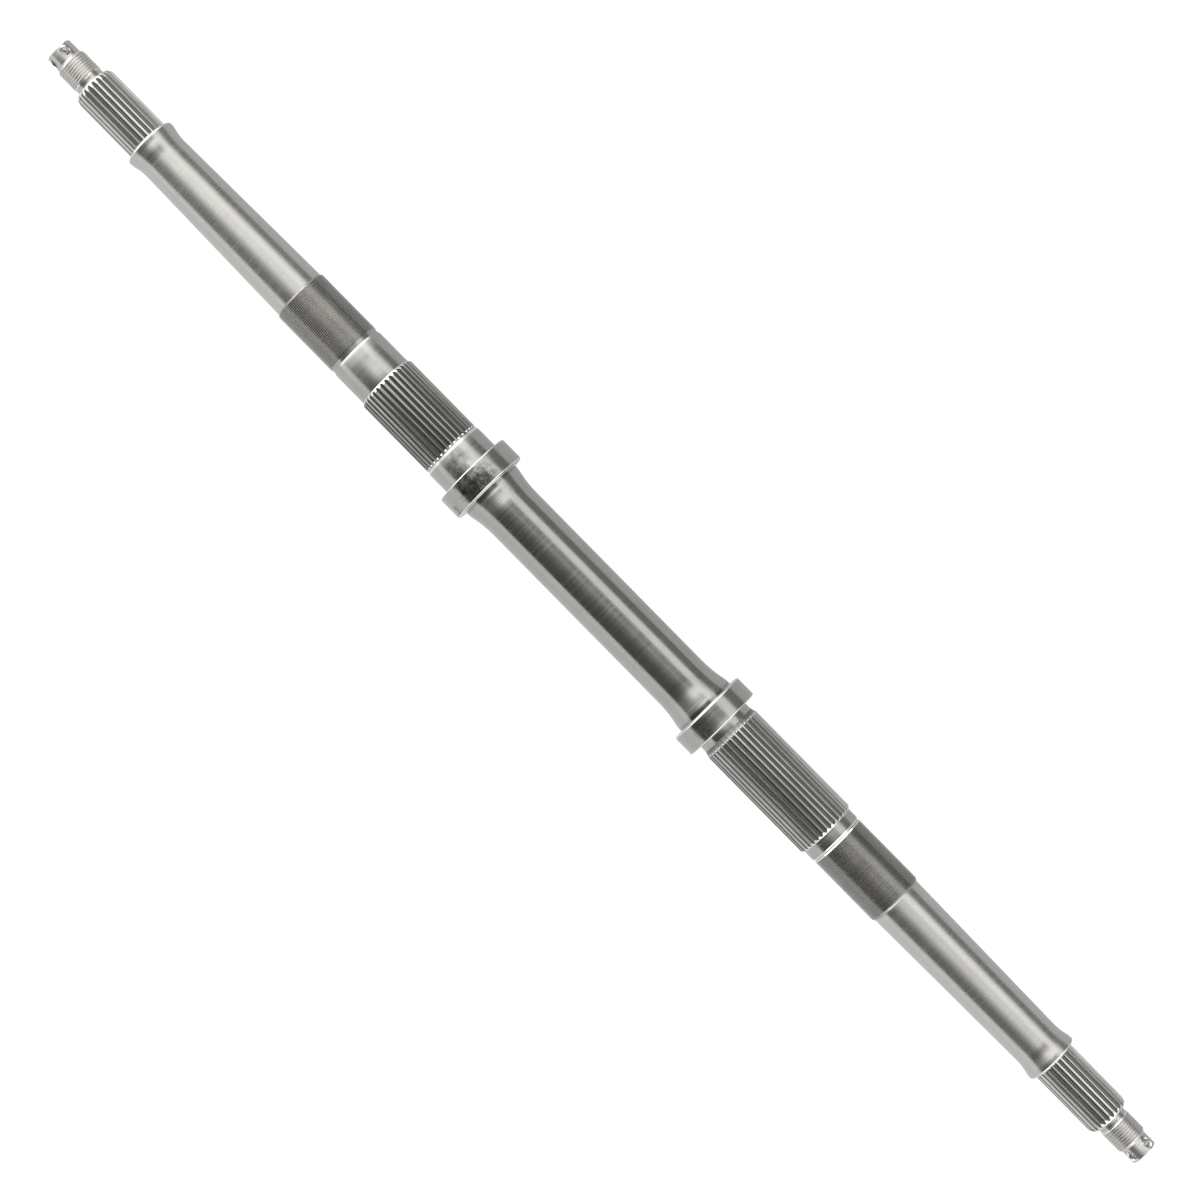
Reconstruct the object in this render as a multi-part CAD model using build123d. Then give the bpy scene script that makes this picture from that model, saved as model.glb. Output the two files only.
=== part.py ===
from build123d import *
import math
import os

# Rear axle of a quad bike: one steel bar, turned, splined, threaded and cross-drilled.
# The shaft's axis is X, from the left hub end to the right hub end, and +Z is up. The origin is
# on the axis, halfway between the two end faces. Threads are plain, at their major diameter.
# Lengths are in millimetres and angles in degrees.

# Both hub ends, from the end face inwards: plain tip, nut thread, relief, hub spline, shoulder.
tip_length = 8.4
tip_diameter = 15.2
tip_chamfer = 0.6
end_thread_length = 13.3
end_thread_diameter = 17.8
end_thread_chamfer = 1.4
relief_length = 3.9
relief_diameter = 16.9
relief_cone = 0.8
hub_spline_length = 41.8
hub_spline_diameter = 24.4
hub_root_diameter = 22.2
hub_face_diameter = 21.2
hub_chamfer_length = 1.0
hub_chamfer_diameter = 23.2
hub_lead_length = 3.0
hub_teeth = 24
hub_tip_width = 1.05
hub_run_out = 1.1
hub_shoulder_clearance = 0.2

# Cotter holes for the hub nut: two at each end, square to each other, countersunk at both mouths.
cotter_hole_diameter = 4.7
cotter_sink_diameter = 6.0
cotter_hole_inset = 4.0
left_cotter_angle = -18
right_cotter_angle = -38.5

# Arms: a flared shoulder that the wheel hub butts against, then a long slight taper.
shoulder_diameter = 29.9
shoulder_chamfer = 1.0
shoulder_land = 1.9
flare_angle = 15
flare_crest_round = 13
flare_foot_round = 30
arm_small_diameter = 26.9
left_arm_length = 111.9
left_arm_large_diameter = 30.05
right_arm_length = 115.0
right_arm_large_diameter = 29.6

# Locknut threads, with a run-out groove on the inner side of each.
lock_thread_diameter = 31.8
left_lock_thread_length = 39.5
left_lock_chamfer = 0.9
left_groove_length = 3.9
left_groove_flank = 1.6
right_lock_thread_length = 42.9
right_lock_chamfer = 1.5
right_groove_length = 2.1
right_groove_flank = 0.8
groove_diameter = 30.7

# Plain necks beside the centre splines.
neck_diameter = 31.85
left_neck_length = 20.1
right_neck_length = 5.9

# Centre splines: the left one carries the brake hub and the right one the sprocket hub.
centre_teeth = 34
centre_tip_width = 1.05
centre_root_diameter = 32.4
left_spline_length = 49.0
left_spline_diameter = 34.2
left_spline_chamfer = 1.8
left_spline_run_out = 1.3
left_spline_end_chamfer = 1.3
left_spline_end_diameter = 33.8
right_spline_length = 72.7
right_spline_diameter = 34.5
right_spline_chamfer = 1.6
right_spline_ramp = 3.8
right_spline_run_out = 1.2
right_space_start = 2.5
inner_neck_diameter = 32.4
inner_neck_length = 4.0

# Bearing seat on the left, with a lead-in from the end of the spline.
seat_diameter = 35.0
seat_length = 14.9
seat_gap = 0.5
seat_lead = 1.5

# Collars that the bearing housing runs between, the land inside each, and the tube in the middle.
collar_diameter = 45.0
collar_chamfer = 0.8
left_collar_width = 13.6
right_collar_width = 12.2
land_diameter = 35.3
land_length = 3.1
waist_diameter = 31.5
waist_span = 153.3
waist_angle = 12.5
waist_crest_round = 17
waist_foot_round = 60

# Angle of one tooth of each spline, turned about +X from +Z.
left_hub_tooth_angle = 3.7
right_hub_tooth_angle = -2.3
left_centre_tooth_angle = 3.6
right_centre_tooth_angle = -2.95

# Both splines are the 30 degree flat-root form, drawn with straight flanks.
flank_angle = 30
cutter_overlap = 1.0

# Stations along X, chained from the left end face.
hub_end_length = tip_length + end_thread_length + relief_length + hub_spline_length
overall_length = sum([
    hub_end_length, left_arm_length, left_lock_thread_length, left_groove_length,
    left_neck_length, left_spline_length, seat_length, left_collar_width, land_length,
    waist_span, land_length, right_collar_width, inner_neck_length, right_spline_length,
    right_neck_length, right_groove_length, right_lock_thread_length, right_arm_length,
    hub_end_length,
])
x_left_end = -overall_length / 2
x_left_shoulder = x_left_end + hub_end_length
x_left_lock = x_left_shoulder + left_arm_length
x_left_groove = x_left_lock + left_lock_thread_length
x_left_neck = x_left_groove + left_groove_length
x_left_spline = x_left_neck + left_neck_length
x_seat = x_left_spline + left_spline_length
x_left_collar = x_seat + seat_length
x_left_land = x_left_collar + left_collar_width
x_waist = x_left_land + land_length
x_right_land = x_waist + waist_span
x_right_collar = x_right_land + land_length
x_inner_neck = x_right_collar + right_collar_width
x_right_spline = x_inner_neck + inner_neck_length
x_right_neck = x_right_spline + right_spline_length
x_right_groove = x_right_neck + right_neck_length
x_right_lock = x_right_groove + right_groove_length
x_right_arm = x_right_lock + right_lock_thread_length
x_right_shoulder = x_right_arm + right_arm_length
x_right_end = x_right_shoulder + hub_end_length


# The outline's corners are (x, diameter, round), listed from left to right.

def slope_length(large, small, angle):
    """Length along X of a slope between two diameters, at an angle to the axis."""
    return (large - small) / 2 / math.tan(math.radians(angle))


def hub_end_corners(x_end, inward):
    """One hub end, from its end face at x_end; inward is +1 on the left end and -1 on the right."""
    thread = tip_length
    relief = thread + end_thread_length
    spline = relief + relief_length
    lead = spline + hub_chamfer_length
    shoulder = spline + hub_spline_length
    crest = shoulder + shoulder_chamfer + shoulder_land
    foot = crest + slope_length(shoulder_diameter, arm_small_diameter, flare_angle)
    corners = [
        (0, tip_diameter - 2 * tip_chamfer, 0),
        (tip_chamfer, tip_diameter, 0),
        (thread, tip_diameter, 0),
        (thread + end_thread_chamfer, end_thread_diameter, 0),
        (relief, end_thread_diameter, 0),
        (relief + relief_cone, relief_diameter, 0),
        (spline, relief_diameter, 0),
        (spline, hub_face_diameter, 0),
        (lead, hub_chamfer_diameter, 0),
        (lead + hub_lead_length, hub_spline_diameter, 0),
        (shoulder, hub_spline_diameter, 0),
        (shoulder, shoulder_diameter - 2 * shoulder_chamfer, 0),
        (shoulder + shoulder_chamfer, shoulder_diameter, 0),
        (crest, shoulder_diameter, flare_crest_round),
        (foot, arm_small_diameter, flare_foot_round),
    ]
    return [(x_end + inward * x, diameter, r) for x, diameter, r in corners]


def groove_corners(x_start, length, flank, left_diameter, right_diameter):
    """A thread run-out groove with sloping sides."""
    return [
        (x_start, left_diameter, 0),
        (x_start + flank, groove_diameter, 0),
        (x_start + length - flank, groove_diameter, 0),
        (x_start + length, right_diameter, 0),
    ]


def left_lock_corners():
    """Large end of the left arm, the left locknut thread, its groove and the plain neck."""
    return [
        (x_left_lock, left_arm_large_diameter, 0),
        (x_left_lock + left_lock_chamfer, lock_thread_diameter, 0),
    ] + groove_corners(
        x_left_groove, left_groove_length, left_groove_flank, lock_thread_diameter, neck_diameter
    )


def left_spline_corners():
    """Left centre spline and the bearing seat after it."""
    tooth_end = x_seat - left_spline_end_chamfer
    return [
        (x_left_spline, neck_diameter, 0),
        (x_left_spline + left_spline_chamfer, left_spline_diameter, 0),
        (tooth_end, left_spline_diameter, 0),
        (x_seat, left_spline_end_diameter, 0),
        (x_seat + seat_gap, left_spline_end_diameter, 0),
        (x_seat + seat_gap + seat_lead, seat_diameter, 0),
        (x_left_collar, seat_diameter, 0),
    ]


def collar_corners(x_start, width):
    """The rim of one collar."""
    return [
        (x_start, collar_diameter - 2 * collar_chamfer, 0),
        (x_start + collar_chamfer, collar_diameter, 0),
        (x_start + width - collar_chamfer, collar_diameter, 0),
        (x_start + width, collar_diameter - 2 * collar_chamfer, 0),
    ]


def waist_corners():
    """The land inside each collar and the slimmer tube between them, joined by long blends."""
    blend = slope_length(land_diameter, waist_diameter, waist_angle)
    return [
        (x_left_land, land_diameter, 0),
        (x_waist, land_diameter, waist_crest_round),
        (x_waist + blend, waist_diameter, waist_foot_round),
        (x_right_land - blend, waist_diameter, waist_foot_round),
        (x_right_land, land_diameter, waist_crest_round),
        (x_right_collar, land_diameter, 0),
    ]


def right_spline_corners():
    """Inner neck, the ramp up to the right centre spline, and the spline's outer chamfer."""
    return [
        (x_inner_neck, inner_neck_diameter, 0),
        (x_right_spline, inner_neck_diameter, 0),
        (x_right_spline + right_spline_ramp, right_spline_diameter, 0),
        (x_right_neck - right_spline_chamfer, right_spline_diameter, 0),
        (x_right_neck, neck_diameter, 0),
    ]


def right_lock_corners():
    """Groove, right locknut thread and the large end of the right arm."""
    return groove_corners(
        x_right_groove, right_groove_length, right_groove_flank, neck_diameter, lock_thread_diameter
    ) + [
        (x_right_arm - right_lock_chamfer, lock_thread_diameter, 0),
        (x_right_arm, right_arm_large_diameter, 0),
    ]


def turned_bar():
    """The whole bar as it leaves the lathe: one outline revolved about the axis."""
    corners = (
        hub_end_corners(x_left_end, 1)
        + left_lock_corners()
        + left_spline_corners()
        + collar_corners(x_left_collar, left_collar_width)
        + waist_corners()
        + collar_corners(x_right_collar, right_collar_width)
        + right_spline_corners()
        + right_lock_corners()
        + list(reversed(hub_end_corners(x_right_end, -1)))
    )
    points = [(x_left_end, 0)] + [(x, diameter / 2) for x, diameter, r in corners]
    points.append((x_right_end, 0))
    outline = FilletPolyline(*points, radius=[r for x, diameter, r in corners])
    half_section = make_face(Curve() + [outline, Line(points[-1], points[0])])
    return revolve(Plane.XZ * half_section, Axis.X)


def space_section(outside_diameter, root_diameter, teeth, tip_width):
    """Section of one tooth space, open side towards +Z, drawn across the axis."""
    outside = outside_diameter / 2
    root = root_diameter / 2
    lean = math.tan(math.radians(flank_angle))
    half_opening = (math.pi * outside_diameter / teeth - tip_width) / 2
    half_root = half_opening - (outside - root) * lean
    half_mouth = half_opening + cutter_overlap * lean
    mouth = outside + cutter_overlap
    corners = [(-half_root, root), (-half_mouth, mouth), (half_mouth, mouth), (half_root, root)]
    return Plane.YZ * make_face(Polyline(*corners, close=True))


def tooth_spaces(x_open, x_closed, section, diameters, run_out, teeth, tooth_angle):
    """All the spaces of one spline. Each runs out at x_closed, on a slope up from the root."""
    outside, root = [diameter / 2 for diameter in diameters]
    towards_closed = math.copysign(1, x_closed - x_open)
    space = Pos(min(x_open, x_closed), 0, 0) * extrude(section, abs(x_closed - x_open))
    slope = Polyline(
        (x_closed - towards_closed * run_out, root),
        (x_closed, outside),
        (x_closed + towards_closed, outside),
        (x_closed + towards_closed, 0),
        (x_closed - towards_closed * run_out, 0),
        close=True,
    )
    space -= extrude(Plane.XZ * make_face(slope), outside, both=True)
    pitch_angle = 360 / teeth
    first = tooth_angle + pitch_angle / 2
    return [Rot(X=first + i * pitch_angle) * space for i in range(teeth)]


def hub_spaces(x_end, inward, tooth_angle):
    """Tooth spaces of one hub spline, open to the relief and closed just short of the shoulder."""
    section = space_section(hub_spline_diameter, hub_root_diameter, hub_teeth, hub_tip_width)
    x_face = x_end + inward * (hub_end_length - hub_spline_length)
    x_closed = x_end + inward * (hub_end_length - hub_shoulder_clearance)
    diameters = (hub_spline_diameter, hub_root_diameter)
    x_open = x_face - inward * cutter_overlap
    return tooth_spaces(x_open, x_closed, section, diameters, hub_run_out, hub_teeth, tooth_angle)


def left_centre_spaces():
    """Tooth spaces of the left centre spline, open at the neck and closed at the bearing seat."""
    diameters = (left_spline_diameter, centre_root_diameter)
    section = space_section(*diameters, centre_teeth, centre_tip_width)
    x_open = x_left_spline - cutter_overlap
    return tooth_spaces(
        x_open, x_seat, section, diameters, left_spline_run_out, centre_teeth,
        left_centre_tooth_angle,
    )


def right_centre_spaces():
    """Tooth spaces of the right centre spline, open at the outer neck and closed on the ramp."""
    diameters = (right_spline_diameter, centre_root_diameter)
    section = space_section(*diameters, centre_teeth, centre_tip_width)
    x_open = x_right_neck + cutter_overlap
    x_closed = x_right_spline + right_space_start
    return tooth_spaces(
        x_open, x_closed, section, diameters, right_spline_run_out, centre_teeth,
        right_centre_tooth_angle,
    )


def cotter_holes(x_hole, first_angle):
    """Two crossing holes through one tip, each countersunk where it breaks the surface."""
    tip = tip_diameter / 2
    hole = cotter_hole_diameter / 2
    sink = cotter_sink_diameter / 2
    sink_depth = sink - hole
    drill = Cylinder(hole, tip_diameter + 2 * cutter_overlap)
    mouth = Cone(hole, sink + cutter_overlap, sink_depth + cutter_overlap)
    mouth = Pos(0, 0, tip + (cutter_overlap - sink_depth) / 2) * mouth
    tool = drill + mouth + Rot(X=180) * mouth
    return [Pos(x_hole, 0, 0) * Rot(X=first_angle + turn) * tool for turn in (0, 90)]


def axle_shaft():
    """The finished axle."""
    shaft = turned_bar()
    shaft -= hub_spaces(x_left_end, 1, left_hub_tooth_angle)
    shaft -= hub_spaces(x_right_end, -1, right_hub_tooth_angle)
    shaft -= left_centre_spaces()
    shaft -= right_centre_spaces()
    shaft -= cotter_holes(x_left_end + cotter_hole_inset, left_cotter_angle)
    shaft -= cotter_holes(x_right_end - cotter_hole_inset, right_cotter_angle)
    return shaft


os.makedirs("parts", exist_ok=True)
export_step(axle_shaft(), "parts/axle_shaft.step")
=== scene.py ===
import math

import bmesh
import bpy
from mathutils import Matrix, Vector


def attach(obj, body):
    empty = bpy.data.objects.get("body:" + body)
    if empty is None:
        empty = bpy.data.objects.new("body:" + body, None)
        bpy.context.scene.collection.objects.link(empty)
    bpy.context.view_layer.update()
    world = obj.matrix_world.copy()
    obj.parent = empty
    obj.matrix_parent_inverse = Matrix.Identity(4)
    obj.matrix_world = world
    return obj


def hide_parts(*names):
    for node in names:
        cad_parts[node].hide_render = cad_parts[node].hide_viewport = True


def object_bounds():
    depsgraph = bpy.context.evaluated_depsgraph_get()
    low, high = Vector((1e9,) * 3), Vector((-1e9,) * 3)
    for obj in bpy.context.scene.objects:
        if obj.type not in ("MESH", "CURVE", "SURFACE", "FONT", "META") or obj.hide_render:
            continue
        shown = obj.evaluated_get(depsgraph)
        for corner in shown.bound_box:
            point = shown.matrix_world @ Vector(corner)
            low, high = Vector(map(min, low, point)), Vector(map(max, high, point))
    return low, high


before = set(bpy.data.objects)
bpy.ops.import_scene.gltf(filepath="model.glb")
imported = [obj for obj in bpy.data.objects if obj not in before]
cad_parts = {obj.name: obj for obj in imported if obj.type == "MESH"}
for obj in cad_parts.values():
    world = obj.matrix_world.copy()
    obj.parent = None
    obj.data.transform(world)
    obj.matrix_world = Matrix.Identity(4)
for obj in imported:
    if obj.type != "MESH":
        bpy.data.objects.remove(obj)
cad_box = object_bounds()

mm = 0.001
left_end = cad_box[0][0]
right_end = cad_box[1][0]


# The arms: the two slim tapers of the bar, each flared out to the shoulder that a wheel hub
# butts against. They are turned between centres and polished, so they carry fine rings and
# shine the brightest of the whole axle.
hub_end_length = 67.4 * mm
shoulder_radius = 14.95 * mm
shoulder_round = 1.3 * mm
shoulder_land = 1.6 * mm
flare_length = 5.6 * mm
flare_crest_round = 13 * mm
flare_foot_round = 30 * mm
arm_small_radius = 13.45 * mm
left_arm_length = 111.9 * mm
left_arm_large_radius = 15.025 * mm
right_arm_length = 115.0 * mm
right_arm_large_radius = 14.8 * mm
hub_root_radius = 11.1 * mm
bar_sides = 128

left_shoulder = left_end + hub_end_length
right_shoulder = right_end - hub_end_length
left_lock = left_shoulder + left_arm_length
right_lock = right_shoulder - right_arm_length


def steel(name, light, dark, roughness, ring_depth, ring_scale=(1500, 25, 25), grain_scale=90):
    """Bare steel: cloudy grey, with fine marks drawn out round the bar or along it."""
    material = bpy.data.materials.new(name)
    material.use_nodes = True
    nodes = material.node_tree.nodes
    link = material.node_tree.links.new
    shader = nodes["Principled BSDF"]
    shader.inputs["Metallic"].default_value = 1.0
    place = nodes.new("ShaderNodeTexCoord")
    stretch = nodes.new("ShaderNodeMapping")
    stretch.inputs["Scale"].default_value = ring_scale
    rings = nodes.new("ShaderNodeTexNoise")
    rings.inputs["Scale"].default_value = 1.0
    rings.inputs["Detail"].default_value = 3.0
    clouds = nodes.new("ShaderNodeTexNoise")
    clouds.inputs["Scale"].default_value = grain_scale
    clouds.inputs["Detail"].default_value = 5.0
    shade = nodes.new("ShaderNodeMix")
    shade.data_type = "RGBA"
    shade.inputs["A"].default_value = (*dark, 1)
    shade.inputs["B"].default_value = (*light, 1)
    gloss = nodes.new("ShaderNodeMapRange")
    gloss.inputs["From Min"].default_value = 0.3
    gloss.inputs["From Max"].default_value = 0.7
    gloss.inputs["To Min"].default_value = roughness - 0.05
    gloss.inputs["To Max"].default_value = roughness + 0.07
    bump = nodes.new("ShaderNodeBump")
    bump.inputs["Strength"].default_value = 1.0
    bump.inputs["Distance"].default_value = ring_depth
    link(place.outputs["Object"], stretch.inputs["Vector"])
    link(stretch.outputs["Vector"], rings.inputs["Vector"])
    link(place.outputs["Object"], clouds.inputs["Vector"])
    link(clouds.outputs["Fac"], shade.inputs["Factor"])
    link(shade.outputs["Result"], shader.inputs["Base Color"])
    link(rings.outputs["Fac"], gloss.inputs["Value"])
    link(gloss.outputs["Result"], shader.inputs["Roughness"])
    link(rings.outputs["Fac"], bump.inputs["Height"])
    link(bump.outputs["Normal"], shader.inputs["Normal"])
    return material


def rounded(corners):
    """The outline through the corners (x, radius, round), with its rounded corners as arcs."""
    points = []
    for i, (x, radius, corner_round) in enumerate(corners):
        corner = Vector((x, radius))
        if corner_round == 0:
            points.append(corner)
            continue
        back = (Vector(corners[i - 1][:2]) - corner).normalized()
        onward = (Vector(corners[i + 1][:2]) - corner).normalized()
        turn = math.pi - back.angle(onward)
        reach = corner_round * math.tan(turn / 2)
        steps = max(4, math.ceil(turn / math.radians(15)))
        middle = corner + (back + onward).normalized() * corner_round / math.cos(turn / 2)
        start = (corner + back * reach - middle).normalized()
        end = (corner + onward * reach - middle).normalized()
        for step in range(steps + 1):
            points.append(middle + start.slerp(end, step / steps) * corner_round)
    return points


def turned(name, corners, material):
    """A closed length of turned bar: a disc drawn out along the outline, ring by ring."""
    outline = rounded(corners)
    first = outline[0]
    bpy.ops.object.select_all(action="DESELECT")
    bpy.ops.mesh.primitive_circle_add(
        vertices=bar_sides, radius=first.y, fill_type="NGON",
        location=(first.x, 0, 0), rotation=(0, math.pi / 2, 0),
    )
    bar = bpy.context.object
    bar.name = name
    bpy.ops.object.transform_apply(location=True, rotation=True, scale=True)
    bpy.ops.object.mode_set(mode="EDIT")
    bpy.ops.mesh.select_all(action="SELECT")
    for last, point in zip(outline, outline[1:]):
        bpy.ops.mesh.extrude_region_move(
            TRANSFORM_OT_translate={"value": (point.x - last.x, 0, 0)}
        )
        size = point.y / last.y
        bpy.ops.transform.resize(value=(1, size, size), center_override=(point.x, 0, 0))
    bpy.ops.mesh.select_all(action="SELECT")
    bpy.ops.mesh.remove_doubles(threshold=0.000001)
    bpy.ops.mesh.normals_make_consistent(inside=False)
    bpy.ops.object.mode_set(mode="OBJECT")
    bar.data.materials.append(material)
    return bar


def arm(name, shoulder, lock, large_radius, inward):
    """One arm, from the hub shoulder's edge to the end of the locknut thread."""
    crest = shoulder + inward * (shoulder_round + shoulder_land)
    return turned(
        name,
        [
            (shoulder, hub_root_radius, 0),
            (shoulder, shoulder_radius, shoulder_round),
            (crest, shoulder_radius, flare_crest_round),
            (crest + inward * flare_length, arm_small_radius, flare_foot_round),
            (lock, large_radius, 0),
        ],
        polished_steel,
    )


polished_steel = steel("polished_steel", (0.68, 0.67, 0.65), (0.6, 0.59, 0.57), 0.23, 0.0000008)
left_arm = arm("left_arm", left_shoulder, left_lock, left_arm_large_radius, 1)
right_arm = arm("right_arm", right_shoulder, right_lock, right_arm_large_radius, -1)


# Locknut threads, M32 x 1, cut on the lathe outboard of the centre splines. Each starts at a
# chamfer on the arm's side and ends in a groove, and holds two thin locknuts.
lock_thread_radius = 15.9 * mm
lock_thread_pitch = 1.0 * mm
left_lock_length = 39.5 * mm
right_lock_length = 42.9 * mm
left_lock_chamfer = 0.9 * mm
right_lock_chamfer = 1.5 * mm
thread_sides = 80

left_groove = left_lock + left_lock_length
right_groove = right_lock - right_lock_length


def threaded(name, start, end, radius, pitch, chamfer, chamfer_radius, outward, material):
    """A closed length of thread: one groove's profile swept round and along the bar."""
    depth = 0.5 * pitch
    flank = depth * math.tan(math.radians(30))
    crest = 0.3 * pitch
    profile = [
        (flank, depth), (crest, 0), (flank, -depth), (pitch - crest - 2 * flank, 0),
    ]
    turns = math.ceil((end - start) / pitch) + 3
    bpy.ops.object.select_all(action="DESELECT")
    bpy.ops.mesh.primitive_plane_add(size=pitch, location=(start - 1.5 * pitch, 0, radius - depth))
    thread = bpy.context.object
    thread.name = name
    bpy.ops.object.transform_apply(location=True, rotation=True, scale=True)
    bpy.ops.object.mode_set(mode="EDIT")
    bpy.ops.mesh.select_all(action="SELECT")
    bpy.ops.mesh.merge(type="CENTER")
    for along, outwards in profile:
        bpy.ops.mesh.extrude_region_move(TRANSFORM_OT_translate={"value": (along, 0, outwards)})
    bpy.ops.object.mode_set(mode="OBJECT")
    sweep = thread.modifiers.new("sweep", "SCREW")
    sweep.axis = "X"
    sweep.screw_offset = pitch
    sweep.iterations = turns
    sweep.steps = thread_sides
    sweep.render_steps = thread_sides
    sweep.use_merge_vertices = True
    sweep.merge_threshold = 0.000001
    bpy.ops.object.modifier_apply(modifier="sweep")
    bpy.ops.object.mode_set(mode="EDIT")
    bpy.ops.mesh.select_all(action="SELECT")
    bpy.ops.mesh.remove_doubles(threshold=0.000002)
    for cut, facing in ((start, -1), (end, 1)):
        bpy.ops.mesh.select_all(action="SELECT")
        bpy.ops.mesh.bisect(
            plane_co=(cut, 0, 0), plane_no=(facing, 0, 0), use_fill=True, clear_outer=True,
            threshold=0.0000001,
        )
    bpy.ops.mesh.select_all(action="SELECT")
    bpy.ops.mesh.normals_make_consistent(inside=False)
    bpy.ops.object.mode_set(mode="OBJECT")
    outer_end = end if outward > 0 else start
    for vertex in thread.data.vertices:
        inset = abs(vertex.co.x - outer_end)
        limit = chamfer_radius + (radius - chamfer_radius) * inset / chamfer
        reach = math.hypot(vertex.co.y, vertex.co.z)
        if reach > limit:
            vertex.co.y *= limit / reach
            vertex.co.z *= limit / reach
    thread.data.materials.append(material)
    return thread


thread_steel = steel("thread_steel", (0.52, 0.51, 0.49), (0.38, 0.375, 0.36), 0.2, 0.0000005)
left_thread = threaded(
    "left_thread", left_lock, left_groove, lock_thread_radius, lock_thread_pitch,
    left_lock_chamfer, left_arm_large_radius, -1, thread_steel,
)
right_thread = threaded(
    "right_thread", right_groove, right_lock, lock_thread_radius, lock_thread_pitch,
    right_lock_chamfer, right_arm_large_radius, 1, thread_steel,
)


# Plain necks between the threads and the centre splines, each with the small groove where the
# threading tool ran out. They are turned smooth, a little duller than the arms.
neck_radius = 15.925 * mm
groove_radius = 15.35 * mm
left_groove_length = 3.9 * mm
left_groove_flank = 1.6 * mm
right_groove_length = 2.1 * mm
right_groove_flank = 0.8 * mm
groove_round = 0.6 * mm
left_neck_length = 20.1 * mm
right_neck_length = 5.9 * mm

left_spline = left_groove + left_groove_length + left_neck_length
right_spline = right_groove - right_groove_length - right_neck_length


def grooved_neck(name, groove, groove_length, flank, spline, inward):
    """A neck with its groove at the thread's end."""
    neck = groove + inward * groove_length
    return turned(
        name,
        [
            (groove, lock_thread_radius - 0.1 * mm, 0),
            (groove + inward * flank, groove_radius, groove_round),
            (neck - inward * flank, groove_radius, groove_round),
            (neck, neck_radius, 0),
            (spline, neck_radius, 0),
        ],
        turned_steel,
    )


turned_steel = steel("turned_steel", (0.58, 0.57, 0.55), (0.46, 0.455, 0.44), 0.2, 0.000002)
left_neck = grooved_neck(
    "left_neck", left_groove, left_groove_length, left_groove_flank, left_spline, 1
)
right_neck = grooved_neck(
    "right_neck", right_groove, right_groove_length, right_groove_flank, right_spline, -1
)


# Centre splines, 34 teeth each: the left one carries the brake hub and the right one the
# sprocket hub. The spaces are hobbed into the bar, open at the neck and run out as small
# bowls at the inner end, and the marks of the cut run along the teeth.
centre_teeth = 34
centre_root_radius = 16.2 * mm
tooth_tip_width = 1.05 * mm
tooth_edge_break = 0.1 * mm
left_spline_length = 49.0 * mm
left_spline_radius = 17.1 * mm
left_spline_chamfer = 1.8 * mm
left_spline_end_radius = 16.9 * mm
left_spline_end_chamfer = 1.3 * mm
right_spline_length = 72.7 * mm
right_spline_radius = 17.25 * mm
right_spline_chamfer = 1.6 * mm
right_spline_ramp = 3.8 * mm
right_space_start = 2.5 * mm
centre_run_out = 1.3 * mm
left_tooth_angle = 3.6
right_tooth_angle = -2.95

left_seat = left_spline + left_spline_length
right_ramp = right_spline - right_spline_length


def space_shape(teeth, outside, root):
    """Half a tooth space from its middle to the tooth's middle, as (angle, radius)."""
    lean = math.tan(math.radians(30))
    opening = (2 * math.pi * outside / teeth - tooth_tip_width) / 2
    flanks_meet = outside - opening / lean
    root_round = root - flanks_meet
    middle = root + root_round
    points = []
    for sweep in (-90, -68, -48, -30):
        turn = math.radians(sweep)
        points.append((root_round * math.cos(turn), middle + root_round * math.sin(turn)))
    low_side, low = points[-1]
    high = outside - tooth_edge_break
    for share in (0.35, 0.7, 1.0):
        height = low + (high - low) * share
        points.append((low_side + (height - low) * lean, height))
    shape = [(math.atan2(across, height), math.hypot(across, height)) for across, height in points]
    corner = math.atan2(opening + tooth_edge_break, outside)
    shape.append((corner, outside))
    shape.append((math.pi / teeth, outside))
    return shape


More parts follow.
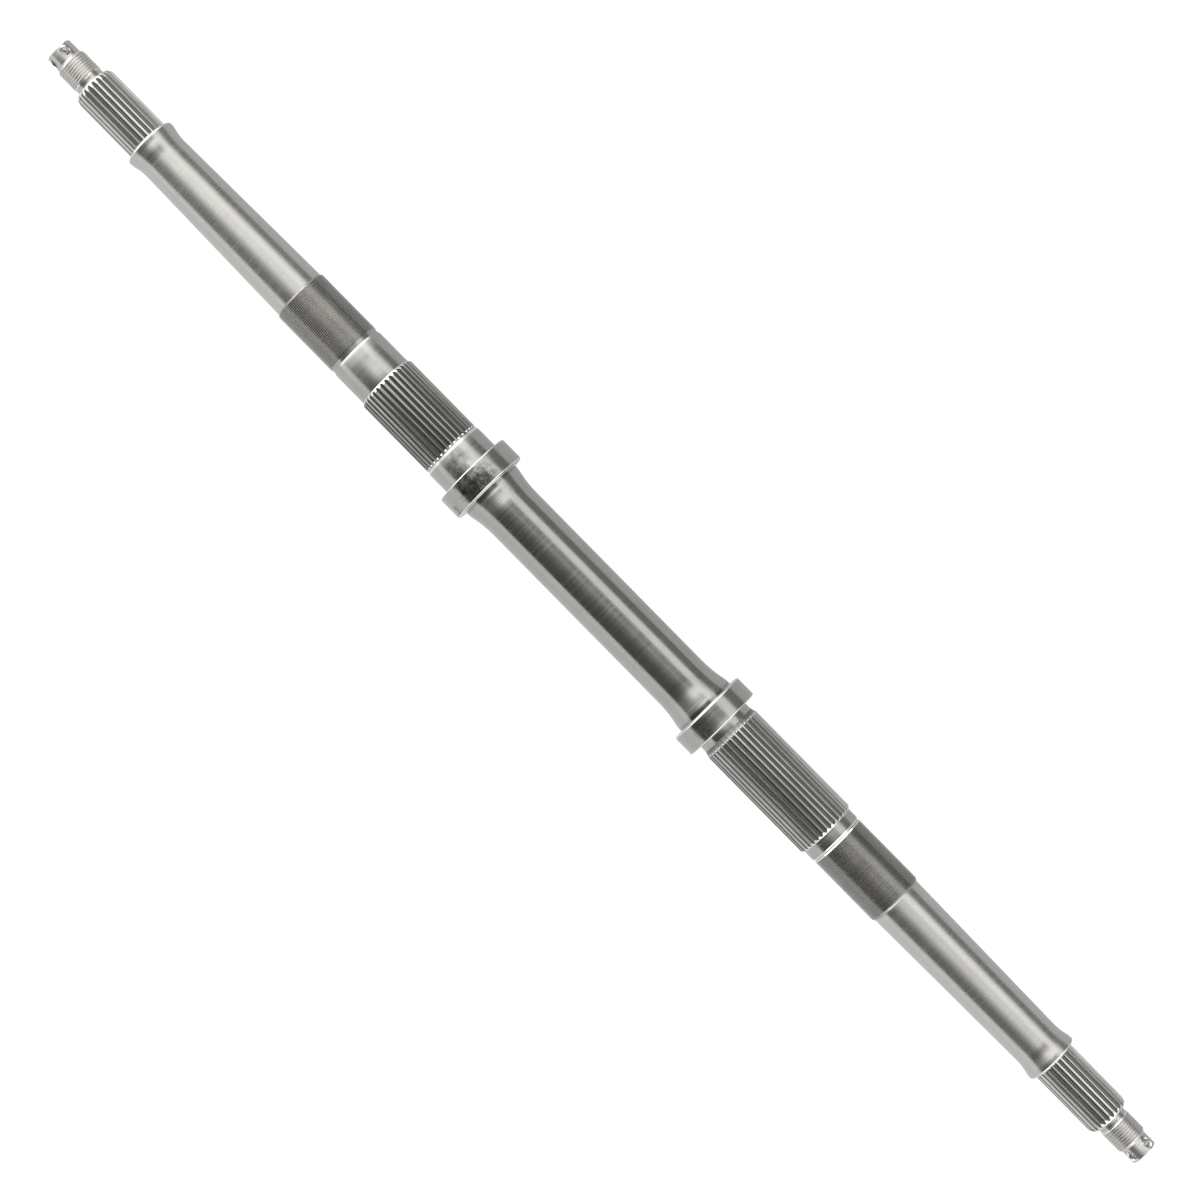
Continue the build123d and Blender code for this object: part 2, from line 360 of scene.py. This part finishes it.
def toothed(name, stations, teeth, outside, root, tooth_angle, envelope, rise, material):
    """A closed length of spline, drawn out ring by ring. envelope is the blank's radius at a
    station, and rise is how far the bottom of the spaces has climbed there."""
    shape = space_shape(teeth, outside, root)
    pitch_angle = 2 * math.pi / teeth
    row = len(shape) * 2 - 2
    bpy.ops.object.select_all(action="DESELECT")
    bpy.ops.mesh.primitive_circle_add(
        vertices=teeth * row, radius=outside, fill_type="NGON",
        location=(stations[0], 0, 0), rotation=(0, math.pi / 2, 0),
    )
    spline = bpy.context.object
    spline.name = name
    bpy.ops.object.transform_apply(location=True, rotation=True, scale=True)
    first_space = math.radians(tooth_angle) + pitch_angle / 2
    signed = [angle for angle, radius in shape]
    signed += [pitch_angle - angle for angle, radius in shape[-2:0:-1]]
    for vertex in spline.data.vertices:
        tooth, step = divmod(vertex.index, row)
        angle = first_space + tooth * pitch_angle + signed[step]
        vertex.co.y = -outside * math.sin(angle)
        vertex.co.z = outside * math.cos(angle)
    bpy.ops.object.mode_set(mode="EDIT")
    bpy.ops.mesh.select_all(action="SELECT")
    angles = [angle for angle, radius in shape]
    now = [outside] * len(shape)
    last = stations[0]
    for station in stations:
        if station != last:
            bpy.ops.mesh.extrude_region_move(
                TRANSFORM_OT_translate={"value": (station - last, 0, 0)}
            )
        mesh = bmesh.from_edit_mesh(spline.data)
        ring = [vertex for vertex in mesh.verts if vertex.select]
        levels = {}
        for vertex in ring:
            angle = math.atan2(-vertex.co.y, vertex.co.z) - first_space
            offset = abs((angle + pitch_angle / 2) % pitch_angle - pitch_angle / 2)
            level = min(range(len(angles)), key=lambda k: abs(angles[k] - offset))
            levels.setdefault(level, []).append(vertex)
        for level, vertices in levels.items():
            radius = min(envelope(station), shape[level][1] + rise(station))
            if level >= len(shape) - 2:
                radius = envelope(station)
            size = radius / now[level]
            now[level] = radius
            for vertex in vertices:
                vertex.co.y *= size
                vertex.co.z *= size
        last = station
    bmesh.update_edit_mesh(spline.data)
    bpy.ops.mesh.select_all(action="SELECT")
    bpy.ops.mesh.normals_make_consistent(inside=False)
    bpy.ops.object.mode_set(mode="OBJECT")
    spline.data.materials.append(material)
    return spline


def spaced(start, end, count):
    """Evenly spaced stations after start, up to and with end."""
    return [start + (end - start) * (i + 1) / count for i in range(count)]


def bowl(distance, length, depth):
    """Height of the round run-out at a distance into it, from 0 to the depth at its length."""
    if distance <= 0:
        return 0.0
    cutter = (length * length + depth * depth) / (2 * depth)
    return cutter - math.sqrt(max(0.0, cutter * cutter - min(distance, length) ** 2))


def left_blank(x):
    """Radius of the left spline's blank: chamfer, full diameter, and a small end chamfer."""
    rise = (left_spline_radius - neck_radius) * (x - left_spline) / left_spline_chamfer
    fall = (left_spline_radius - left_spline_end_radius) / left_spline_end_chamfer
    from_end = left_seat - x
    return min(
        left_spline_radius, neck_radius + rise, left_spline_end_radius + fall * from_end
    )


def left_bowl(x):
    """Climb of the left spline's spaces towards the bearing seat."""
    depth = left_spline_radius - centre_root_radius
    return bowl(x - (left_seat - centre_run_out), centre_run_out, depth)


def right_blank(x):
    """Radius of the right spline's blank: outer chamfer, full diameter, and the inner ramp."""
    climb = (right_spline_radius - neck_radius) * (right_spline - x) / right_spline_chamfer
    ramp = (right_spline_radius - centre_root_radius) * (x - right_ramp) / right_spline_ramp
    return min(right_spline_radius, neck_radius + climb, centre_root_radius + ramp)


def right_bowl(x):
    """Climb of the right spline's spaces towards the collar."""
    depth = right_spline_radius - centre_root_radius
    start = right_ramp + right_space_start + centre_run_out
    return bowl(start - x, centre_run_out, depth)


def shade_in_tooth_spaces(material, root, outside, share):
    """Darkens the teeth towards their roots with near black: painted shade in the tooth spaces."""
    nodes = material.node_tree.nodes
    link = material.node_tree.links.new
    shader = nodes["Principled BSDF"]
    metal = shader.inputs["Base Color"].links[0].from_socket
    place = nodes.new("ShaderNodeTexCoord")
    across = nodes.new("ShaderNodeVectorMath")
    across.operation = "MULTIPLY"
    across.inputs[1].default_value = (0, 1, 1)
    reach = nodes.new("ShaderNodeVectorMath")
    reach.operation = "LENGTH"
    depth = nodes.new("ShaderNodeMapRange")
    depth.inputs["From Min"].default_value = root + (outside - root) * 0.35
    depth.inputs["From Max"].default_value = outside - 0.05 * mm
    depth.inputs["To Min"].default_value = share
    depth.inputs["To Max"].default_value = 0.0
    # painted shade: near black, mixed in more the nearer the tooth roots
    root_shade = nodes.new("ShaderNodeMix")
    root_shade.data_type = "RGBA"
    root_shade.inputs["B"].default_value = (0.07, 0.07, 0.065, 1)
    link(place.outputs["Object"], across.inputs[0])
    link(across.outputs["Vector"], reach.inputs[0])
    link(reach.outputs["Value"], depth.inputs["Value"])
    link(depth.outputs["Result"], root_shade.inputs["Factor"])
    link(metal, root_shade.inputs["A"])
    link(root_shade.outputs["Result"], shader.inputs["Base Color"])


spline_steel = steel(
    "spline_steel", (0.52, 0.51, 0.49), (0.36, 0.355, 0.34), 0.22, 0.000002, (60, 900, 900)
)
# Painted shade in the left spline's tooth spaces, darker towards the roots.
shade_in_tooth_spaces(spline_steel, centre_root_radius, left_spline_radius, 0.85)
right_spline_steel = steel(
    "right_spline_steel", (0.7, 0.69, 0.67), (0.5, 0.49, 0.47), 0.22, 0.000002, (60, 900, 900)
)
# Painted shade in the right spline's tooth spaces, darker towards the roots.
shade_in_tooth_spaces(right_spline_steel, centre_root_radius, right_spline_radius, 0.7)
left_spline_teeth = toothed(
    "left_spline_teeth",
    [left_spline] + spaced(left_spline, left_spline + left_spline_chamfer, 5)
    + [left_seat - left_spline_end_chamfer - 0.1 * mm]
    + spaced(left_seat - centre_run_out, left_seat, 6),
    centre_teeth, left_spline_radius, centre_root_radius, left_tooth_angle,
    left_blank, left_bowl, spline_steel,
)
right_spline_teeth = toothed(
    "right_spline_teeth",
    [right_ramp + 0.01 * mm]
    + spaced(right_ramp + right_space_start, right_ramp + right_spline_ramp, 7)
    + [right_spline - right_spline_chamfer]
    + spaced(right_spline - right_spline_chamfer, right_spline, 5),
    centre_teeth, right_spline_radius, centre_root_radius, right_tooth_angle,
    right_blank, right_bowl, right_spline_steel,
)


# The middle of the axle: the bearing seat, the two collars that the bearing housing runs
# between, and the slimmer waist that joins them. The seat, the collars and the lands inside
# them are ground, and the rest is left as turned.
seat_radius = 17.5 * mm
seat_length = 14.9 * mm
seat_gap = 0.5 * mm
seat_lead = 1.5 * mm
collar_radius = 22.5 * mm
collar_round = 0.8 * mm
left_collar_width = 13.6 * mm
right_collar_width = 12.2 * mm
land_radius = 17.65 * mm
land_length = 3.1 * mm
corner_round = 0.4 * mm
waist_radius = 15.75 * mm
waist_blend = 8.57 * mm
waist_crest_round = 17 * mm
waist_foot_round = 60 * mm
inner_neck_length = 4.0 * mm

left_collar = left_seat + seat_length
left_land = left_collar + left_collar_width
right_collar = right_ramp - inner_neck_length - right_collar_width
right_land = right_collar - land_length
waist = left_land + land_length


def stain(material, spots):
    """Adds mottled dark stains, each at a place with a reach and a strength."""
    nodes = material.node_tree.nodes
    link = material.node_tree.links.new
    shader = nodes["Principled BSDF"]
    place = nodes.new("ShaderNodeTexCoord")
    mottle = nodes.new("ShaderNodeTexNoise")
    mottle.inputs["Scale"].default_value = 330
    mottle.inputs["Detail"].default_value = 6.0
    mottle.inputs["Roughness"].default_value = 0.65
    blotch = nodes.new("ShaderNodeMapRange")
    blotch.inputs["From Min"].default_value = 0.42
    blotch.inputs["From Max"].default_value = 0.6
    link(place.outputs["Object"], mottle.inputs["Vector"])
    link(mottle.outputs["Fac"], blotch.inputs["Value"])
    for centre, size, strength in spots:
        distance = nodes.new("ShaderNodeVectorMath")
        distance.operation = "DISTANCE"
        distance.inputs[1].default_value = centre
        spread = nodes.new("ShaderNodeMapRange")
        spread.inputs["From Min"].default_value = size * 0.45
        spread.inputs["From Max"].default_value = size
        spread.inputs["To Min"].default_value = strength
        spread.inputs["To Max"].default_value = 0.0
        cover = nodes.new("ShaderNodeMath")
        cover.operation = "MULTIPLY"
        dark = nodes.new("ShaderNodeMix")
        dark.data_type = "RGBA"
        dark.inputs["B"].default_value = oil_dark
        metal = shader.inputs["Base Color"].links[0].from_socket
        link(place.outputs["Object"], distance.inputs[0])
        link(distance.outputs["Value"], spread.inputs["Value"])
        link(spread.outputs["Result"], cover.inputs[0])
        link(blotch.outputs["Result"], cover.inputs[1])
        link(cover.outputs["Value"], dark.inputs["Factor"])
        link(metal, dark.inputs["A"])
        link(dark.outputs["Result"], shader.inputs["Base Color"])


def on_bar(x, radius, angle):
    """The point on the bar's surface at a station, turned about +X from straight up."""
    turn = math.radians(angle)
    return (x, -radius * math.sin(turn), radius * math.cos(turn))


oil_dark = (0.08, 0.08, 0.075, 1)
land_steel = steel("land_steel", (0.44, 0.43, 0.42), (0.34, 0.33, 0.32), 0.12, 0.000001)
seat_steel = steel("seat_steel", (0.58, 0.57, 0.55), (0.46, 0.455, 0.44), 0.17, 0.000001)
stain(seat_steel, [
    (on_bar(left_collar + 6 * mm, collar_radius, 12), 13 * mm, 0.85),
    (on_bar(left_collar + 9 * mm, collar_radius, -12), 8 * mm, 0.5),
    (on_bar(left_collar + 11 * mm, collar_radius, 62), 4 * mm, 0.9),
    (on_bar(left_collar - 6 * mm, seat_radius, 10), 9 * mm, 0.45),
    (on_bar(right_collar + 6 * mm, collar_radius, 22), 8 * mm, 0.35),
])
middle = turned(
    "middle",
    [
        (left_seat, left_spline_end_radius, 0),
        (left_seat + seat_gap, left_spline_end_radius, 0),
        (left_seat + seat_gap + seat_lead, seat_radius, 0),
        (left_collar, seat_radius, corner_round),
        (left_collar, collar_radius, collar_round),
        (left_land, collar_radius, collar_round),
        (left_land, land_radius, corner_round),
        (waist, land_radius, waist_crest_round),
        (waist + waist_blend, waist_radius, waist_foot_round),
        (right_land - waist_blend, waist_radius, waist_foot_round),
        (right_land, land_radius, waist_crest_round),
        (right_collar, land_radius, corner_round),
        (right_collar, collar_radius, collar_round),
        (right_collar + right_collar_width, collar_radius, collar_round),
        (right_collar + right_collar_width, centre_root_radius, corner_round),
        (right_ramp, centre_root_radius, 0),
        (right_ramp + 0.01 * mm, centre_root_radius, 0),
    ],
    seat_steel,
)
middle.data.materials.append(land_steel)
for face in middle.data.polygons:
    at = face.center.x
    reach = math.hypot(face.center.y, face.center.z)
    on_land = left_land < at < waist - 0.5 * mm or right_land + 0.5 * mm < at < right_collar
    if on_land and reach < land_radius + corner_round:
        face.material_index = 1


# Hub ends, alike on both sides: a plain tip drilled across for the cotter pin, the thread for
# the castle nut, a relief, and the 24-tooth spline that drives the wheel hub.
tip_length = 8.4 * mm
tip_radius = 7.6 * mm
tip_round = 0.6 * mm
end_thread_length = 13.3 * mm
end_thread_radius = 8.9 * mm
end_thread_pitch = 1.5 * mm
end_thread_chamfer = 1.4 * mm
relief_length = 3.9 * mm
relief_radius = 8.45 * mm
relief_cone = 0.8 * mm
hub_teeth = 24
hub_spline_radius = 12.2 * mm
hub_face_radius = 10.6 * mm
hub_lead_length = 4.0 * mm
hub_lead_round = 5.8 * mm
hub_run_out = 1.1 * mm
cotter_hole_radius = 2.35 * mm
cotter_sink_radius = 3.0 * mm
cotter_hole_inset = 4.0 * mm
hub_steel = steel(
    "hub_steel", (0.82, 0.81, 0.79), (0.6, 0.59, 0.57), 0.24, 0.000002, (60, 900, 900)
)
# Painted shade in the hub splines' tooth spaces, darker towards the roots.
shade_in_tooth_spaces(hub_steel, hub_root_radius, hub_spline_radius, 0.8)


def drilled_tip(name, x_end, inward, cotter_angle):
    """The plain tip, with two crossing cotter holes countersunk at every mouth."""
    tip = turned(
        name,
        [
            (x_end, tip_radius * 0.5, 0),
            (x_end, tip_radius, tip_round),
            (x_end + inward * tip_length, tip_radius, 0),
        ],
        polished_steel,
    )
    drill_x = x_end + inward * cotter_hole_inset
    sink_depth = cotter_sink_radius - cotter_hole_radius
    for quarter in range(2):
        bpy.ops.object.select_all(action="DESELECT")
        bpy.ops.mesh.primitive_cylinder_add(
            vertices=48, radius=cotter_hole_radius, depth=4 * tip_radius
        )
        drill = bpy.context.object
        bpy.ops.object.mode_set(mode="EDIT")
        for height in (tip_radius - sink_depth, tip_radius + sink_depth):
            for side in (-1, 1):
                bpy.ops.mesh.select_all(action="SELECT")
                bpy.ops.mesh.bisect(plane_co=(0, 0, side * height), plane_no=(0, 0, 1))
        mesh = bmesh.from_edit_mesh(drill.data)
        for vertex in mesh.verts:
            vertex.select = abs(vertex.co.z) > tip_radius
        mesh.select_flush_mode()
        wide = (cotter_sink_radius + sink_depth) / cotter_hole_radius
        bpy.ops.transform.resize(value=(wide, wide, 1), center_override=(0, 0, 0))
        bpy.ops.object.mode_set(mode="OBJECT")
        turn = math.radians(cotter_angle + 90 * quarter)
        drill.rotation_euler = (turn, 0, 0)
        drill.location = (drill_x, 0, 0)
        bpy.ops.object.transform_apply(location=True, rotation=True, scale=True)
        bore = tip.modifiers.new("bore", "BOOLEAN")
        bore.operation = "DIFFERENCE"
        bore.solver = "EXACT"
        bore.object = drill
        bpy.context.view_layer.objects.active = tip
        bpy.ops.object.modifier_apply(modifier="bore")
        bpy.data.objects.remove(drill)
    return tip


def hub_end(side, x_end, inward, tooth_angle, cotter_angle):
    """All of one hub end, as a list of lengths."""
    thread = x_end + inward * tip_length
    relief = thread + inward * end_thread_length
    spline = relief + inward * relief_length
    shoulder = x_end + inward * hub_end_length
    ends = sorted((thread, relief))
    full = spline + inward * hub_lead_length
    run_out = shoulder - inward * hub_run_out

    def blank(x):
        short = max(0.0, inward * (full - x))
        return hub_spline_radius - hub_lead_round + math.sqrt(hub_lead_round ** 2 - short ** 2)

    def climb(x):
        return bowl(inward * (x - run_out), hub_run_out, hub_spline_radius - hub_root_radius)

    return [
        drilled_tip(side + "_tip", x_end, inward, cotter_angle),
        threaded(
            side + "_end_thread", ends[0], ends[1], end_thread_radius, end_thread_pitch,
            end_thread_chamfer, tip_radius, -inward, hub_thread_steel,
        ),
        turned(
            side + "_relief",
            [
                (relief, end_thread_radius - 0.1 * mm, 0),
                (relief + inward * relief_cone, relief_radius, 0),
                (spline, relief_radius, corner_round),
                (spline, hub_face_radius - 0.2 * mm, 0),
            ],
            polished_steel,
        ),
        toothed(
            side + "_hub_teeth",
            [spline] + spaced(spline, full, 8) + [run_out] + spaced(run_out, shoulder, 5),
            hub_teeth, hub_spline_radius, hub_root_radius, tooth_angle,
            blank, climb, hub_steel,
        ),
    ]


hub_thread_steel = steel("hub_thread_steel", (0.8, 0.79, 0.77), (0.62, 0.61, 0.59), 0.3, 0.0000005)
left_hub_end = hub_end("left", left_end, 1, 3.7, -18)
right_hub_end = hub_end("right", right_end, -1, -2.3, -38.5)


# The whole axle is one bar of steel, so its lengths are joined into one piece. Its sloping edges
# and chamfers, all but those of the threads, are painted near white as a painted highlight.
lengths = [
    left_arm, right_arm, left_thread, right_thread, left_neck, right_neck,
    left_spline_teeth, right_spline_teeth, middle,
] + left_hub_end + right_hub_end
bpy.ops.object.select_all(action="DESELECT")
for length in lengths:
    length.select_set(True)
bpy.context.view_layer.objects.active = middle
bpy.ops.object.join()
axle = bpy.context.object
axle.name = "axle"
highlight_steel = steel("highlight_steel", (0.93, 0.92, 0.9), (0.84, 0.83, 0.81), 0.12, 0.0000005)
axle.data.materials.append(highlight_steel)
plain_threads = (thread_steel, hub_thread_steel)
highlight_place = len(axle.data.materials) - 1
highlight_least_lean = 0.35
highlight_most_lean = 0.98
# Painted highlight: faces that slope along the bar get the near-white steel by the way they face.
for face in axle.data.polygons:
    if axle.data.materials[face.material_index] in plain_threads:
        continue
    if highlight_least_lean < abs(face.normal.x) < highlight_most_lean:
        face.material_index = highlight_place
bpy.ops.object.shade_smooth_by_angle(angle=math.radians(32))
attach(axle, "root")
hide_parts("axle_shaft")


# The floor, a plain white sheet that the axle lies on, resting on its two collars.
floor_half = 6.0
bpy.ops.object.select_all(action="DESELECT")
bpy.ops.mesh.primitive_plane_add(size=2 * floor_half, location=(0, 0, -collar_radius))
floor = bpy.context.object
floor.name = "floor"
white_sheet = bpy.data.materials.new("white_sheet")
white_sheet.use_nodes = True
sheet_nodes = white_sheet.node_tree.nodes
sheet_link = white_sheet.node_tree.links.new
sheet_nodes.remove(sheet_nodes["Principled BSDF"])
sheet_out = sheet_nodes["Material Output"]
sheet_paths = sheet_nodes.new("ShaderNodeLightPath")
sheet_place = sheet_nodes.new("ShaderNodeTexCoord")
sheet_split = sheet_nodes.new("ShaderNodeSeparateXYZ")
sheet_side = sheet_nodes.new("ShaderNodeMapRange")
sheet_side.inputs["From Min"].default_value = -0.02
sheet_side.inputs["From Max"].default_value = 0.02
sheet_side.inputs["To Min"].default_value = 0.75
sheet_side.inputs["To Max"].default_value = 0.56
sheet_glow = sheet_nodes.new("ShaderNodeEmission")
sheet_mirror = sheet_nodes.new("ShaderNodeEmission")
sheet_paper = sheet_nodes.new("ShaderNodeBsdfDiffuse")
sheet_paper.inputs["Color"].default_value = (0.25, 0.25, 0.25, 1)
sheet_glow.inputs["Strength"].default_value = 0.9
sheet_front = sheet_nodes.new("ShaderNodeAddShader")
sheet_seen = sheet_nodes.new("ShaderNodeMixShader")
sheet_final = sheet_nodes.new("ShaderNodeMixShader")
sheet_plain = sheet_nodes.new("ShaderNodeBsdfDiffuse")
sheet_plain.inputs["Color"].default_value = (0.8, 0.8, 0.8, 1)
sheet_link(sheet_place.outputs["Object"], sheet_split.inputs["Vector"])
sheet_link(sheet_split.outputs["Y"], sheet_side.inputs["Value"])
sheet_link(sheet_side.outputs["Result"], sheet_mirror.inputs["Strength"])
sheet_link(sheet_glow.outputs["Emission"], sheet_front.inputs[0])
sheet_link(sheet_paper.outputs["BSDF"], sheet_front.inputs[1])
sheet_link(sheet_paths.outputs["Is Glossy Ray"], sheet_seen.inputs["Fac"])
sheet_link(sheet_plain.outputs["BSDF"], sheet_seen.inputs[1])
sheet_link(sheet_mirror.outputs["Emission"], sheet_seen.inputs[2])
sheet_link(sheet_paths.outputs["Is Camera Ray"], sheet_final.inputs["Fac"])
sheet_link(sheet_seen.outputs["Shader"], sheet_final.inputs[1])
sheet_link(sheet_front.outputs["Shader"], sheet_final.inputs[2])
sheet_link(sheet_final.outputs["Shader"], sheet_out.inputs["Surface"])
floor.data.materials.append(white_sheet)


# The room: a soft grey studio, dark to one side overhead and pale low down, with a broad light
# above each arm and white walls past both ends of the axle.
room = bpy.data.worlds.new("room")
bpy.context.scene.world = room
room.use_nodes = True
room_nodes = room.node_tree.nodes
room_link = room.node_tree.links.new
room_light = room_nodes["Background"]
room_place = room_nodes.new("ShaderNodeTexCoord")
room_split = room_nodes.new("ShaderNodeSeparateXYZ")
room_flip = room_nodes.new("ShaderNodeMath")
room_flip.operation = "MULTIPLY"
room_flip.inputs[1].default_value = -1.0
room_turn = room_nodes.new("ShaderNodeMath")
room_turn.operation = "ARCTAN2"
room_share = room_nodes.new("ShaderNodeMapRange")
room_share.inputs["From Min"].default_value = -math.pi / 2
room_share.inputs["From Max"].default_value = math.pi / 2


def light_bands(levels):
    """Brightness round the axle's long direction, from the right-hand wall over to the left."""
    bands = room_nodes.new("ShaderNodeValToRGB")
    stops = bands.color_ramp.elements
    while len(stops) < len(levels):
        stops.new(0.5)
    for stop, (angle, level) in zip(stops, levels):
        stop.position = (angle + 90) / 180
        stop.color = (level, level, level * 0.97, 1)
    room_link(room_share.outputs["Result"], bands.inputs["Fac"])
    return bands


def room_range(low, high):
    """A soft step between two values of a direction's share along the axle."""
    step = room_nodes.new("ShaderNodeMapRange")
    step.interpolation_type = "SMOOTHSTEP"
    step.inputs["From Min"].default_value = low
    step.inputs["From Max"].default_value = high
    return step


over_middle = light_bands([
    (-90, 0.22), (-60, 0.22), (-52, 1.05), (-30, 1.0), (-24, 0.34), (-8, 0.26), (-4, 0.42),
    (0, 0.3), (10, 0.18), (30, 0.1), (67, 0.07), (71, 0.8), (90, 0.82),
])
over_arms = light_bands([
    (-90, 0.2), (-66, 0.22), (-52, 0.9), (-38, 1.3), (-10, 1.55), (4, 1.3), (20, 0.6),
    (36, 0.26), (66, 0.2), (71, 0.85), (90, 0.88),
])
room_length = room_nodes.new("ShaderNodeMath")
room_length.operation = "ABSOLUTE"
room_arms = room_range(0.11, 0.19)
room_past = room_range(0.38, 0.26)
room_patch = room_nodes.new("ShaderNodeMath")
room_patch.operation = "MULTIPLY"
room_left = room_range(-0.3, -0.6)
room_right = room_range(0.45, 0.75)
room_overhead = room_nodes.new("ShaderNodeMix")
room_overhead.data_type = "RGBA"
room_left_wall = room_nodes.new("ShaderNodeMix")
room_left_wall.data_type = "RGBA"
room_left_wall.inputs["B"].default_value = (2.2, 2.2, 2.15, 1)
room_mix = room_nodes.new("ShaderNodeMix")
room_mix.data_type = "RGBA"
room_mix.inputs["B"].default_value = (1.6, 1.6, 1.57, 1)
room_link(room_place.outputs["Generated"], room_split.inputs["Vector"])
room_link(room_split.outputs["Y"], room_flip.inputs[0])
room_link(room_flip.outputs["Value"], room_turn.inputs[0])
room_link(room_split.outputs["Z"], room_turn.inputs[1])
room_link(room_turn.outputs["Value"], room_share.inputs["Value"])
room_link(room_split.outputs["X"], room_length.inputs[0])
room_link(room_length.outputs["Value"], room_arms.inputs["Value"])
room_link(room_split.outputs["X"], room_left.inputs["Value"])
room_link(room_split.outputs["X"], room_right.inputs["Value"])
room_link(room_length.outputs["Value"], room_past.inputs["Value"])
room_link(room_arms.outputs["Result"], room_patch.inputs[0])
room_link(room_past.outputs["Result"], room_patch.inputs[1])
room_link(room_patch.outputs["Value"], room_overhead.inputs["Factor"])
room_link(over_middle.outputs["Color"], room_overhead.inputs["A"])
room_link(over_arms.outputs["Color"], room_overhead.inputs["B"])
room_link(room_left.outputs["Result"], room_left_wall.inputs["Factor"])
room_link(room_overhead.outputs["Result"], room_left_wall.inputs["A"])
room_link(room_right.outputs["Result"], room_mix.inputs["Factor"])
room_link(room_left_wall.outputs["Result"], room_mix.inputs["A"])
room_link(room_mix.outputs["Result"], room_light.inputs["Color"])
bpy.context.scene.view_settings.view_transform = "Standard"


# The camera looks straight down on the axle, a little to the right of its middle, turned so
# that the axle runs from the upper left to the lower right.
camera_height = 1.71
camera_x = 0.029
aim_x = 0.0005
camera_roll = math.radians(45.446)
camera_lens = 99
camera_data = bpy.data.cameras.new("camera")
camera_data.lens = camera_lens
camera_data.sensor_width = 36
camera_data.clip_end = 30
camera = bpy.data.objects.new("camera", camera_data)
bpy.context.scene.collection.objects.link(camera)
tilt = math.atan2(camera_x - aim_x, camera_height)
lean = Matrix.Rotation(tilt, 3, "Y")
camera.rotation_euler = (lean @ Matrix.Rotation(camera_roll, 3, "Z")).to_euler()
camera.location = (camera_x, 0, camera_height)
bpy.context.scene.camera = camera
